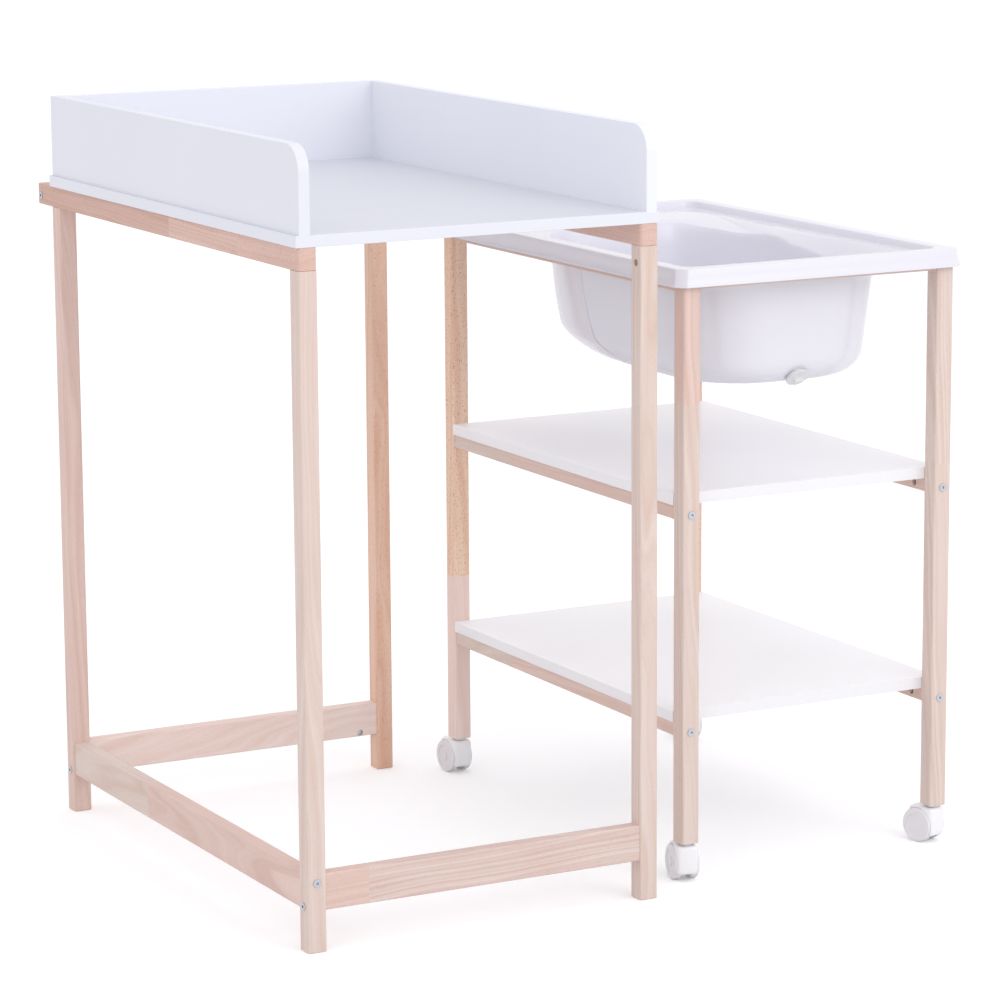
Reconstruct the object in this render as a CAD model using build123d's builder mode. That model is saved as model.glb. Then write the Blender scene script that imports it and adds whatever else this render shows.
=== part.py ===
from build123d import *

import os
from math import cos, radians, sin

os.makedirs("parts", exist_ok=True)

# All sizes are in millimetres. X runs to the right, Y to the back and Z up.
# The origin is on the floor, under the middle of the table and its trolley.

# Table frame
table_width = 530.0
table_depth = 838.0
leg_side = 27.0
leg_height = 903.0
leg_round = 3.0
foot_bevel = 1.2
rail_height = 30.0
rail_overhang = 54.0
rail_round = 5.0
rail_ease = 1.5
stretcher_height = 50.0
stretcher_thickness = 22.0
stretcher_bottom = 56.0
stretcher_round = 2.5

# Tray
board = 16.0
tray_proud = 3.0
tray_wall_height = 115.0
tray_wall_inset = 5.0
tray_wall_seat = 2.0
tray_corner_round = 35.0
board_ease = 0.8

# Trolley frame
trolley_gap = 63.6
trolley_setback = 40.5
trolley_width = 440.0
trolley_depth = 709.0
trolley_top = 848.0
upper_shelf_top = 548.0
lower_shelf_top = 242.0
shelf_rail_height = 20.0
shelf_rail_thickness = 22.0
shelf_rail_inset = 2.5
cross_rail_height = 16.0

# Bolts, barrel nuts, screws and dowels
bolt_radius = 3.0
bolt_play = 0.2
bolt_head_radius = 5.5
bolt_head_height = 1.5
bolt_socket = 4.0
bolt_socket_depth = 2.5
bolt_spare = 2.0
head_sink = 2.5
nut_radius = 5.0
nut_length = 14.0
nut_inset = 28.0
nut_play = 0.05
leg_top_nut_drop = 23.0
side_bolt_height = 95.0
cross_bolt_height = 62.0
rear_bolt_height = 13.0
screw_radius = 2.0
screw_head_radius = 4.0
screw_head_depth = 2.2
screw_point = 4.0
wall_screw_length = 42.0
panel_screw_bite = 11.0
screw_end_margin = 90.0
panel_screw_margin = 160.0
dowel_radius = 4.0
dowel_length = 30.0
dowel_depth = 8.5
dowel_play = 0.05

# Castors
castor_height = 56.0
wheel_radius = 25.0
wheel_width = 10.5
wheel_gap = 15.0
wheel_round = 2.5
wheel_dish_radius = 17.0
wheel_dish_depth = 1.2
wheel_bore_floor = 2.5
castor_trail = 16.0
axle_radius = 3.0
axle_play = 0.05
axle_end_play = 0.5
hood_radius = 27.5
hood_wall = 1.5
hood_trail_angle = 32.0
hood_lead_angle = 208.0
web_thickness = 12.0
hub_radius = 6.5
swivel_post_radius = 6.5
swivel_post_bottom = 20.0
swivel_play = 0.3
stem_radius = 3.5
stem_play = 0.05
stem_bottom = 24.0
stem_spare = 1.0
collar_radius = 9.0
collar_height = 3.0
stem_upper_radius = 4.0
stem_upper_length = 35.0
castor_turns = {
    "front_left": -13.0,
    "front_right": 16.5,
    "back_left": 3.8,
    "back_right": -8.0,
}

# Bathtub
tub_wall = 3.0
rim_side_overhang = 14.0
rim_end_overhang = 11.0
rim_top = 862.0
skirt_bottom = 837.0
skirt_flare = 3.0
skirt_lip = 1.5
skirt_lip_height = 3.0
rim_corner_cut = 13.0
rim_corner_round = 5.0
rim_edge_round = 1.5
rim_band = 28.0
rim_mouth_round = 20.0
basin_clearance = 3.0
basin_depth = 171.0
mouth_corner = 22.0
basin_corner = 110.0
basin_back_reach = 140.0
back_flat_half = 20.0
shoulder_depth = 42.0
shoulder_sides = 40.0
shoulder_front = 17.0
shoulder_back = 65.0
draft_sides = 5.0
draft_front = 4.0
draft_back = 56.0
bottom_round = 36.0
corner_shrink = 0.6

# Drain plug
plug_lean = 45.0
plug_radius = 12.0
plug_length = 15.0
plug_play = 0.35
plug_flange_radius = 17.0
plug_flange = 2.5
plug_tab_width = 12.0
plug_tab_height = 6.0
plug_tab_thickness = 2.0
plug_wall = 2.0
seal_thickness = 1.5
seal_inset = 1.0
drain_boss_radius = 19.0
drain_boss_depth = 14.0
drain_boss_proud = 0.8
drain_boss_root = 0.5

# Places that follow from the sizes above
total_width = tray_proud + table_width + trolley_gap + trolley_width + rim_side_overhang
total_depth = bolt_head_height + table_depth + rail_overhang
table_left = tray_proud - total_width / 2
table_right = table_left + table_width
table_front = bolt_head_height - total_depth / 2
table_back = table_front + table_depth
rails_back = table_back + rail_overhang
leg_half = leg_side / 2
rail_top = leg_height + rail_height
tray_floor = rail_top + board
trolley_left = table_right + trolley_gap
trolley_right = trolley_left + trolley_width
trolley_front = table_front + trolley_setback
trolley_back = trolley_front + trolley_depth

LEFT = (-1, 0, 0)
RIGHT = (1, 0, 0)
FRONT = (0, -1, 0)
BACK = (0, 1, 0)
UP = (0, 0, 1)
DOWN = (0, 0, -1)


def keep(piece, name):
    """Label a finished piece and write it under its own name."""
    piece.part.label = name
    export_step(piece.part, f"parts/{name}.step")


def drill(mouth, radius, depth):
    """Cut a round hole from its mouth, against the direction that the mouth faces."""
    with Locations(mouth):
        Cylinder(
            radius,
            depth,
            align=(Align.CENTER, Align.CENTER, Align.MAX),
            mode=Mode.SUBTRACT,
        )


def countersink(mouth, depth):
    """Cut the cone for a screw's head and the pilot hole for its shank."""
    drill(mouth, screw_radius + dowel_play, depth)
    with Locations(mouth):
        Cone(
            screw_radius + dowel_play,
            screw_head_radius + dowel_play,
            screw_head_depth + dowel_play,
            align=(Align.CENTER, Align.CENTER, Align.MAX),
            mode=Mode.SUBTRACT,
        )


def nut_place(bolt, depth, axis):
    """The middle of a barrel nut, at a depth behind the face that the bolt enters."""
    centre = bolt.origin - bolt.z_dir * depth
    return Plane(origin=centre, x_dir=bolt.z_dir, z_dir=axis)


def nut_bore(nut, half_thickness):
    """Cut the cross hole for a barrel nut, from the face that its axis points at."""
    drill(nut.offset(half_thickness), nut_radius + nut_play, half_thickness + nut_length / 2)


# Bolts and nuts, each drawn once at the origin with its head facing up


def draw_bolt(length):
    """A bolt with a flat round head and a hexagonal socket."""
    with BuildPart() as bolt:
        Cylinder(
            bolt_head_radius,
            bolt_head_height,
            align=(Align.CENTER, Align.CENTER, Align.MIN),
        )
        fillet(bolt.faces().sort_by(Axis.Z)[-1].edges(), bolt_head_height / 3)
        Cylinder(bolt_radius, length, align=(Align.CENTER, Align.CENTER, Align.MAX))
        with BuildSketch(Plane.XY.offset(bolt_head_height)):
            RegularPolygon(bolt_socket / 2, 6, major_radius=False)
        extrude(amount=-bolt_socket_depth, mode=Mode.SUBTRACT)
    return bolt.part


def draw_screw(length):
    """A countersunk wood screw with a plain point."""
    with BuildPart() as screw:
        with BuildSketch(Plane.XZ):
            with BuildLine():
                Polyline(
                    (0, 0),
                    (screw_head_radius, 0),
                    (screw_radius, -screw_head_depth),
                    (screw_radius, screw_point - length),
                    (0, -length),
                    close=True,
                )
            make_face()
        revolve(axis=Axis.Z)
    return screw.part


with BuildPart() as barrel_nut:
    Cylinder(nut_radius, nut_length)
    drill(Plane(origin=(nut_radius, 0, 0), z_dir=RIGHT), bolt_radius + nut_play, 2 * nut_radius)

corner_bolt = draw_bolt(leg_side + nut_inset + nut_radius + bolt_spare)
leg_top_bolt_length = rail_height - head_sink + leg_top_nut_drop + nut_radius + bolt_spare
leg_top_bolt = draw_bolt(leg_top_bolt_length)
corner_nut_depth = leg_side + nut_inset
bolt_bore_radius = bolt_radius + bolt_play
end_bore_depth = nut_inset + nut_radius + 2 * bolt_spare


def square_leg(x, y, bottom, top):
    """A leg of square section with rounded edges, as a sketch pulled up to its top."""
    with BuildPart() as leg:
        with BuildSketch(Plane((x, y, bottom))):
            RectangleRounded(leg_side, leg_side, leg_round)
        extrude(amount=top - bottom)
        chamfer(leg.faces().sort_by(Axis.Z)[0].edges(), foot_bevel)
    return leg


# Where the bolts enter the table's legs
leg_x = {"left": table_left + leg_half, "right": table_right - leg_half}
leg_y = {"front": table_front + leg_half, "back": table_back - leg_half}
left_stretcher_bolts = [
    Plane(origin=(leg_x["left"], table_front, side_bolt_height), z_dir=FRONT),
    Plane(origin=(leg_x["left"], table_back, side_bolt_height), z_dir=BACK),
]
cross_stretcher_bolts = {
    end: [
        Plane(origin=(table_left, leg_y[end], cross_bolt_height), z_dir=LEFT),
        Plane(origin=(table_right, leg_y[end], cross_bolt_height), z_dir=RIGHT),
    ]
    for end in ("front", "back")
}
inward = {"left": RIGHT, "right": LEFT}

# Table legs
leg_top_nuts = []
for end in ("front", "back"):
    for side in ("left", "right"):
        leg_top = Plane(origin=(leg_x[side], leg_y[end], leg_height), z_dir=UP)
        leg_top_nut = nut_place(leg_top, leg_top_nut_drop, inward[side])
        leg_top_nuts.append(leg_top_nut)
        table_leg = square_leg(leg_x[side], leg_y[end], 0, leg_height)
        with table_leg:
            drill(leg_top, bolt_bore_radius, leg_top_nut_drop + nut_radius + 2 * bolt_spare)
            nut_bore(leg_top_nut, leg_half)
            drill(cross_stretcher_bolts[end][side == "right"], bolt_bore_radius, leg_side)
            if side == "left":
                drill(left_stretcher_bolts[end == "back"], bolt_bore_radius, leg_side)
        keep(table_leg, f"table_leg_{end}_{side}")


def stretcher(middle, along, length, height, thickness):
    """A bar with eased edges, drawn in section and pulled out both ways from its middle."""
    with BuildPart() as bar:
        with BuildSketch(Plane(origin=middle, x_dir=(along[1], along[0], 0), z_dir=along)):
            RectangleRounded(thickness, height, stretcher_round)
        extrude(amount=length / 2, both=True)
    return bar


def bolted(bar, bolts, axis, half_thickness):
    """Bore a bar's ends for their bolts and barrel nuts, and return the nuts' places."""
    nuts = [nut_place(bolt, corner_nut_depth, axis) for bolt in bolts]
    with bar:
        for bolt, nut in zip(bolts, nuts):
            drill(bolt.offset(-leg_side), bolt_bore_radius, end_bore_depth)
            nut_bore(nut, half_thickness)
    return nuts


# Stretchers between the table's feet
stretcher_middle = stretcher_bottom + stretcher_height / 2
table_centre_x = (table_left + table_right) / 2
table_centre_y = (table_front + table_back) / 2
half_stretcher = stretcher_thickness / 2

stretcher_left = stretcher(
    (leg_x["left"], table_centre_y, stretcher_middle),
    BACK,
    table_depth - 2 * leg_side,
    stretcher_height,
    stretcher_thickness,
)
table_nuts = bolted(stretcher_left, left_stretcher_bolts, RIGHT, half_stretcher)
keep(stretcher_left, "stretcher_left")

for end, facing in (("front", BACK), ("back", FRONT)):
    cross_stretcher = stretcher(
        (table_centre_x, leg_y[end], stretcher_middle),
        RIGHT,
        table_width - 2 * leg_side,
        stretcher_height,
        stretcher_thickness,
    )
    table_nuts += bolted(cross_stretcher, cross_stretcher_bolts[end], facing, half_stretcher)
    keep(cross_stretcher, f"stretcher_{end}")

# Top rails, which run on behind the back legs
rail_length = table_depth + rail_overhang
rail_centre_y = (table_front + rails_back) / 2
rear_rail_y = rails_back - leg_half
rear_bolts = [
    Plane(origin=(table_left, rear_rail_y, leg_height + rear_bolt_height), z_dir=LEFT),
    Plane(origin=(table_right, rear_rail_y, leg_height + rear_bolt_height), z_dir=RIGHT),
]
panel_screw_span = table_depth - 2 * panel_screw_margin
panel_screws = [
    Plane(
        origin=(x, table_front + panel_screw_margin + share * panel_screw_span, leg_height),
        z_dir=DOWN,
    )
    for x in leg_x.values()
    for share in (0, 1 / 3, 2 / 3, 1)
]
panel_screw_length = rail_height + panel_screw_bite
rail_top_bolts = []
for side, rear_bolt in zip(("left", "right"), rear_bolts):
    with BuildPart() as side_rail:
        with BuildSketch(Plane((leg_x[side], rail_centre_y, leg_height))):
            RectangleRounded(leg_side, rail_length, rail_round)
        extrude(amount=rail_height)
        fillet(side_rail.edges().filter_by(Axis.Y), rail_ease)
        drill(rear_bolt, bolt_bore_radius, leg_side)
        for y in leg_y.values():
            head_seat = Plane(origin=(leg_x[side], y, rail_top - head_sink), z_dir=UP)
            rail_top_bolts.append(head_seat)
            drill(head_seat, bolt_bore_radius, rail_height)
            drill(head_seat.offset(head_sink), bolt_head_radius + bolt_play, head_sink)
        for screw in panel_screws:
            countersink(screw, rail_height)
    keep(side_rail, f"top_rail_{side}")

rear_rail = stretcher(
    (table_centre_x, rear_rail_y, leg_height + rail_height / 2),
    RIGHT,
    table_width - 2 * leg_side,
    rail_height,
    leg_side,
)
table_nuts += bolted(rear_rail, rear_bolts, FRONT, leg_half)
keep(rear_rail, "top_rail_rear")

# Tray: a base panel with three boards standing in its shallow grooves
wall_left = table_left - tray_proud + tray_wall_inset
wall_right = table_right + tray_proud - tray_wall_inset
tray_wall_x = {"left": wall_left + board / 2, "right": wall_right - board / 2}
tray_back_y = table_back - board / 2
tray_back_width = wall_right - wall_left - 2 * board
tray_seat = tray_floor - tray_wall_seat
seat_height = board - tray_wall_seat
wall_screw_bite = wall_screw_length - seat_height
wall_screws = [
    Plane(origin=(x, y, rail_top), z_dir=DOWN)
    for x in tray_wall_x.values()
    for y in (table_front + screw_end_margin / 2, table_centre_y, table_back - screw_end_margin)
]
wall_screws += [
    Plane(origin=(x, tray_back_y, rail_top), z_dir=DOWN)
    for x in (
        wall_left + screw_end_margin,
        table_centre_x,
        wall_right - screw_end_margin,
    )
]

with BuildPart() as tray_base:
    with Locations((table_centre_x, table_centre_y, rail_top)):
        Box(
            table_width + 2 * tray_proud,
            table_depth,
            board,
            align=(Align.CENTER, Align.CENTER, Align.MIN),
        )
    fillet(tray_base.edges(), board_ease)
    with Locations(*[(x, table_centre_y, tray_seat) for x in tray_wall_x.values()]):
        Box(
            board,
            table_depth,
            tray_wall_seat,
            align=(Align.CENTER, Align.CENTER, Align.MIN),
            mode=Mode.SUBTRACT,
        )
    with Locations((table_centre_x, tray_back_y, tray_seat)):
        Box(
            tray_back_width,
            board,
            tray_wall_seat,
            align=(Align.CENTER, Align.CENTER, Align.MIN),
            mode=Mode.SUBTRACT,
        )
    for screw in wall_screws:
        countersink(screw, board)
    for screw in panel_screws:
        drill(screw.offset(-rail_height), screw_radius + dowel_play, panel_screw_bite)
keep(tray_base, "tray_base")

for side, x in tray_wall_x.items():
    with BuildPart() as tray_side:
        with Locations((x, table_centre_y, tray_seat)):
            Box(
                board,
                table_depth,
                tray_wall_seat + tray_wall_height,
                align=(Align.CENTER, Align.CENTER, Align.MIN),
            )
        front_top = tray_side.edges().filter_by(Axis.X).group_by(Axis.Y)[0].sort_by(Axis.Z)[-1]
        fillet(front_top, tray_corner_round)
        fillet(tray_side.faces().filter_by(Axis.X).edges(), board_ease)
        for screw in wall_screws:
            drill(screw.offset(-seat_height), screw_radius + dowel_play, wall_screw_bite)
    keep(tray_side, f"tray_side_{side}")

with BuildPart() as tray_back:
    with Locations((table_centre_x, tray_back_y, tray_seat)):
        Box(
            tray_back_width,
            board,
            tray_wall_seat + tray_wall_height,
            align=(Align.CENTER, Align.CENTER, Align.MIN),
        )
    fillet(tray_back.faces().filter_by(Axis.Y).edges().filter_by(Axis.X), board_ease)
    for screw in wall_screws:
        drill(screw.offset(-seat_height), screw_radius + dowel_play, wall_screw_bite)
keep(tray_back, "tray_back")

# The table's fasteners, as groups of separate solids
with BuildPart() as table_bolts:
    with Locations(
        *left_stretcher_bolts,
        *cross_stretcher_bolts["front"],
        *cross_stretcher_bolts["back"],
        *rear_bolts,
    ):
        add(corner_bolt)
keep(table_bolts, "table_bolts")

with BuildPart() as leg_top_bolts:
    with Locations(*rail_top_bolts):
        add(leg_top_bolt)
keep(leg_top_bolts, "leg_top_bolts")

with BuildPart() as table_barrel_nuts:
    with Locations(*table_nuts, *leg_top_nuts):
        add(barrel_nut.part)
keep(table_barrel_nuts, "table_barrel_nuts")

with BuildPart() as tray_wall_screws:
    with Locations(*wall_screws):
        add(draw_screw(wall_screw_length))
keep(tray_wall_screws, "tray_wall_screws")

with BuildPart() as tray_panel_screws:
    with Locations(*panel_screws):
        add(draw_screw(panel_screw_length))
keep(tray_panel_screws, "tray_panel_screws")

# Trolley: where its legs stand, and where their bolts and dowels go
post_x = {"left": trolley_left + leg_half, "right": trolley_right - leg_half}
post_y = {"front": trolley_front + leg_half, "back": trolley_back - leg_half}
post_face_y = {"front": trolley_front, "back": trolley_back}
outward = {"front": FRONT, "back": BACK, "left": LEFT, "right": RIGHT}
trolley_centre_x = (trolley_left + trolley_right) / 2
trolley_centre_y = (trolley_front + trolley_back) / 2
shelf_run = trolley_depth - 2 * leg_side
cross_run = trolley_width - 2 * leg_side
shelf_tops = {"upper": upper_shelf_top, "lower": lower_shelf_top}
shelf_rail_z = {
    level: top - board - shelf_rail_height / 2 for level, top in shelf_tops.items()
}
top_rail_z = trolley_top - shelf_rail_height / 2
cross_rail_z = trolley_top - cross_rail_height / 2
shelf_rail_x = {
    "left": trolley_left + shelf_rail_inset + shelf_rail_thickness / 2,
    "right": trolley_right - shelf_rail_inset - shelf_rail_thickness / 2,
}
cross_rail_y = {
    "front": trolley_front + shelf_rail_inset + shelf_rail_thickness / 2,
    "back": trolley_back - shelf_rail_inset - shelf_rail_thickness / 2,
}
dowel_bore = dowel_radius + dowel_play


def rail_bolt(side, end, level):
    """Where a shelf rail's bolt enters a trolley leg."""
    origin = (shelf_rail_x[side], post_face_y[end], shelf_rail_z[level])
    return Plane(origin=origin, z_dir=outward[end])


def dowel_mouths(side, end):
    """The dowel holes' mouths on a trolley leg's two inner faces."""
    back_or_front = "front" if end == "back" else "back"
    other_side = "left" if side == "right" else "right"
    inner_y = post_y[end] + leg_half * outward[back_or_front][1]
    inner_x = post_x[side] + leg_half * inward[side][0]
    return [
        Plane(origin=(shelf_rail_x[side], inner_y, top_rail_z), z_dir=outward[back_or_front]),
        Plane(origin=(inner_x, cross_rail_y[end], cross_rail_z), z_dir=outward[other_side]),
    ]


# Trolley legs, bored for the bolts, the dowels and the castors' stems
for end in ("front", "back"):
    for side in ("left", "right"):
        trolley_leg = square_leg(post_x[side], post_y[end], castor_height, trolley_top)
        foot = Plane(origin=(post_x[side], post_y[end], castor_height), z_dir=DOWN)
        with trolley_leg:
            drill(foot, stem_upper_radius + stem_play, stem_upper_length + bolt_spare)
            for level in shelf_tops:
                drill(rail_bolt(side, end, level), bolt_bore_radius, leg_side)
            for mouth in dowel_mouths(side, end):
                drill(mouth, dowel_bore, dowel_depth)
        keep(trolley_leg, f"trolley_leg_{end}_{side}")

# Shelf rails with their bolts, barrel nuts and screws
trolley_nut_places = []
trolley_bolt_places = []
shelf_screw_places = []
for level, top in shelf_tops.items():
    for side in ("left", "right"):
        shelf_rail = stretcher(
            (shelf_rail_x[side], trolley_centre_y, shelf_rail_z[level]),
            BACK,
            shelf_run,
            shelf_rail_height,
            shelf_rail_thickness,
        )
        bolts = [rail_bolt(side, end, level) for end in ("front", "back")]
        trolley_bolt_places += bolts
        trolley_nut_places += bolted(
            shelf_rail, bolts, inward[side], shelf_rail_thickness / 2
        )
        screws = [
            Plane(origin=(shelf_rail_x[side], y, top - board - shelf_rail_height), z_dir=DOWN)
            for y in (
                trolley_front + leg_side + screw_end_margin,
                trolley_centre_y,
                trolley_back - leg_side - screw_end_margin,
            )
        ]
        shelf_screw_places += screws
        with shelf_rail:
            for screw in screws:
                countersink(screw, shelf_rail_height)
        keep(shelf_rail, f"shelf_rail_{level}_{side}")

# Shelves between the front and back legs
for level, top in shelf_tops.items():
    with BuildPart() as shelf:
        with Locations((trolley_centre_x, trolley_centre_y, top)):
            Box(
                trolley_width,
                shelf_run,
                board,
                align=(Align.CENTER, Align.CENTER, Align.MAX),
            )
        fillet(shelf.edges().filter_by(Axis.Y), board_ease)
        for screw in shelf_screw_places:
            drill(screw.offset(-shelf_rail_height), screw_radius + dowel_play, panel_screw_bite)
    keep(shelf, f"shelf_{level}")

# Top rails under the bathtub's rim, held by dowels
dowel_places = []
for side in ("left", "right"):
    trolley_rail = stretcher(
        (shelf_rail_x[side], trolley_centre_y, top_rail_z),
        BACK,
        shelf_run,
        shelf_rail_height,
        shelf_rail_thickness,
    )
    mouths = [dowel_mouths(side, end)[0] for end in ("front", "back")]
    dowel_places += mouths
    with trolley_rail:
        for mouth in mouths:
            drill(mouth.offset(dowel_length), dowel_bore, dowel_length)
    keep(trolley_rail, f"trolley_rail_{side}")

for end in ("front", "back"):
    trolley_rail = stretcher(
        (trolley_centre_x, cross_rail_y[end], cross_rail_z),
        RIGHT,
        cross_run,
        cross_rail_height,
        shelf_rail_thickness,
    )
    mouths = [dowel_mouths(side, end)[1] for side in ("left", "right")]
    dowel_places += mouths
    with trolley_rail:
        for mouth in mouths:
            drill(mouth.offset(dowel_length), dowel_bore, dowel_length)
    keep(trolley_rail, f"trolley_rail_{end}")

with BuildPart() as trolley_dowels:
    with Locations(*[mouth.offset(-dowel_depth) for mouth in dowel_places]):
        Cylinder(
            dowel_radius,
            dowel_length,
            align=(Align.CENTER, Align.CENTER, Align.MIN),
        )
keep(trolley_dowels, "trolley_dowels")

with BuildPart() as trolley_bolts:
    with Locations(*trolley_bolt_places):
        add(corner_bolt)
keep(trolley_bolts, "trolley_bolts")

with BuildPart() as trolley_barrel_nuts:
    with Locations(*trolley_nut_places):
        add(barrel_nut.part)
keep(trolley_barrel_nuts, "trolley_barrel_nuts")

with BuildPart() as shelf_screws:
    with Locations(*shelf_screw_places):
        add(draw_screw(shelf_rail_height + panel_screw_bite))
keep(shelf_screws, "shelf_screws")


# Castors


def castor_side(x, y, turn, across):
    """A castor's side plane: its x runs back along the trail and its y up."""
    trail = (-sin(radians(turn)), cos(radians(turn)), 0)
    axis = (cos(radians(turn)), sin(radians(turn)), 0)
    origin = (x + across * axis[0], y + across * axis[1], 0)
    return Plane(origin=origin, x_dir=trail, z_dir=axis)


def castor_hood(x, y, turn):
    """The hood over both wheels, the web between them and the post that swivels."""
    axle = (castor_trail, wheel_radius)
    cover_span = hood_lead_angle - hood_trail_angle
    half_width = wheel_gap / 2 + wheel_width
    middle = castor_side(x, y, turn, 0)
    with BuildPart() as hood:
        with BuildSketch(middle):
            with BuildLine():
                outer = CenterArc(axle, hood_radius, hood_trail_angle, cover_span)
                inner = CenterArc(axle, hood_radius - hood_wall, hood_trail_angle, cover_span)
                Line(outer @ 0, inner @ 0)
                Line(outer @ 1, inner @ 1)
            make_face()
        extrude(amount=half_width, both=True)
        with BuildSketch(middle):
            with BuildLine():
                edge = CenterArc(
                    axle, hood_radius - hood_wall / 2, hood_trail_angle, cover_span
                )
                Line(edge @ 0, axle)
                Line(edge @ 1, axle)
            make_face()
            with Locations(axle):
                Circle(hub_radius)
        extrude(amount=web_thickness / 2, both=True)
        with BuildSketch(Plane((x, y, swivel_post_bottom))):
            Circle(swivel_post_radius)
        extrude(amount=castor_height - collar_height - swivel_play - swivel_post_bottom)
        post_top = Plane((x, y, castor_height - collar_height))
        stem_reach = castor_height - collar_height - stem_bottom
        drill(post_top, stem_radius + stem_play, stem_reach + stem_spare)
        axle_end = Plane(middle.from_local_coords(Vector(*axle, web_thickness)), z_dir=middle.z_dir)
        drill(axle_end, axle_radius, 2 * web_thickness)
    return hood


def castor_axle(x, y, turn):
    """The steel pin that both wheels turn on."""
    length = wheel_gap + 2 * (wheel_width - wheel_bore_floor - axle_end_play)
    with BuildPart() as pin:
        with BuildSketch(castor_side(x, y, turn, 0)):
            with Locations((castor_trail, wheel_radius)):
                Circle(axle_radius)
        extrude(amount=length / 2, both=True)
    return pin


def castor_wheel(x, y, turn, side):
    """A wheel with rounded edges, a shallow dish outside and a blind bore inside."""
    inner_face = castor_side(x, y, turn, side * wheel_gap / 2)
    with BuildPart() as wheel:
        with BuildSketch(inner_face):
            with Locations((castor_trail, wheel_radius)):
                Circle(wheel_radius)
        extrude(amount=side * wheel_width)
        outer_face = wheel.faces().sort_by(Axis(inner_face.origin, inner_face.z_dir * side))[-1]
        fillet(outer_face.edges(), wheel_round)
        with BuildSketch(inner_face.offset(side * (wheel_width - wheel_dish_depth))):
            with Locations((castor_trail, wheel_radius)):
                Circle(wheel_dish_radius)
                Circle(hub_radius, mode=Mode.SUBTRACT)
        extrude(amount=side * wheel_dish_depth, mode=Mode.SUBTRACT)
        with BuildSketch(inner_face):
            with Locations((castor_trail, wheel_radius)):
                Circle(axle_radius + axle_play)
        extrude(amount=side * (wheel_width - wheel_bore_floor), mode=Mode.SUBTRACT)
    return wheel


stem_places = []
for corner, turn in castor_turns.items():
    end, side = corner.split("_")
    place = (post_x[side], post_y[end])
    stem_places.append(place)
    keep(castor_hood(*place, turn), f"castor_hood_{corner}")
    keep(castor_axle(*place, turn), f"castor_axle_{corner}")
    keep(castor_wheel(*place, turn, -1), f"wheel_left_{corner}")
    keep(castor_wheel(*place, turn, 1), f"wheel_right_{corner}")

with BuildPart() as castor_stems:
    with BuildSketch(Plane.XY.offset(stem_bottom)):
        with Locations(*stem_places):
            Circle(stem_radius)
    extrude(amount=castor_height - stem_bottom)
    with BuildSketch(Plane.XY.offset(castor_height - collar_height)):
        with Locations(*stem_places):
            Circle(collar_radius)
    extrude(amount=collar_height)
    with BuildSketch(Plane.XY.offset(castor_height)):
        with Locations(*stem_places):
            Circle(stem_upper_radius)
    extrude(amount=stem_upper_length)
keep(castor_stems, "castor_stems")

# Bathtub: a rim that stands on the trolley's legs, and a basin that hangs inside them
ledge_top = trolley_top + tub_wall
foot_half_width = trolley_width / 2 + rim_side_overhang
foot_half_length = trolley_depth / 2 + rim_end_overhang
mouth_half_width = foot_half_width - rim_band
mouth_half_length = foot_half_length - rim_band
basin_half_width = trolley_width / 2 - leg_side - basin_clearance
basin_front = leg_side + basin_clearance - trolley_depth / 2
basin_back = trolley_depth / 2 - leg_side - basin_clearance


def rim_outline(height, inset, corner):
    """The rim's outline at one height, drawn in from the foot of its skirt."""
    with BuildSketch(Plane((trolley_centre_x, trolley_centre_y, height))) as outline:
        Rectangle(2 * (foot_half_width - inset), 2 * (foot_half_length - inset))
        chamfer(outline.vertices(), corner)
        fillet(outline.vertices(), rim_corner_round)
    return outline.sketch


# The basin's shoulder, as shares of its own depth and of its reach inwards
shoulder_steps = [
    (0.0, 0.0),
    (0.12, 0.25),
    (0.24, 0.50),
    (0.35, 0.75),
    (0.43, 0.90),
    (0.53, 0.95),
    (0.75, 0.99),
    (1.0, 1.0),
]
bottom_angles = (15, 30, 45, 60, 75, 90)


def basin_levels():
    """Each level's drop, its reach in from the sides, front and back, and its corners."""
    levels = []
    for down, inward in shoulder_steps:
        levels.append((
            down * shoulder_depth,
            inward * shoulder_sides,
            inward * shoulder_front,
            inward * shoulder_back,
            mouth_corner + inward * (basin_corner - mouth_corner),
            mouth_corner + inward * (basin_back_reach - mouth_corner),
        ))
    for angle in (0, *bottom_angles):
        reach = bottom_round * (1 - cos(radians(angle)))
        levels.append((
            basin_depth - bottom_round * (1 - sin(radians(angle))),
            shoulder_sides + draft_sides + reach,
            shoulder_front + draft_front + reach,
            shoulder_back + draft_back + reach,
            basin_corner - corner_shrink * reach,
            basin_back_reach - corner_shrink * reach,
        ))
    return levels


def basin_outline(level, inset):
    """One level of the basin, drawn in by the inset. It has a rounded back end."""
    drop, side_in, front_in, back_in, outer_corner, outer_reach = level
    corner = outer_corner - inset
    back_reach = outer_reach - inset
    half = basin_half_width - side_in - inset
    front = basin_front + front_in + inset
    back = basin_back - back_in - inset
    run = max(half - back_reach, back_flat_half)
    turn = back - back_reach
    height = ledge_top - drop + min(inset, drop)
    with BuildSketch(Plane((trolley_centre_x, trolley_centre_y, height))) as outline:
        with BuildLine():
            Line((corner - half, front), (half - corner, front))
            CenterArc((half - corner, front + corner), corner, -90, 90)
            Line((half, front + corner), (half, turn))
            EllipticalCenterArc((run, turn), half - run, back_reach, 0, arc_size=90)
            Line((run, back), (-run, back))
            EllipticalCenterArc((-run, turn), half - run, back_reach, 90, arc_size=90)
            Line((-half, turn), (-half, front + corner))
            CenterArc((corner - half, front + corner), corner, 180, 90)
        make_face()
    return outline.sketch


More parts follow.
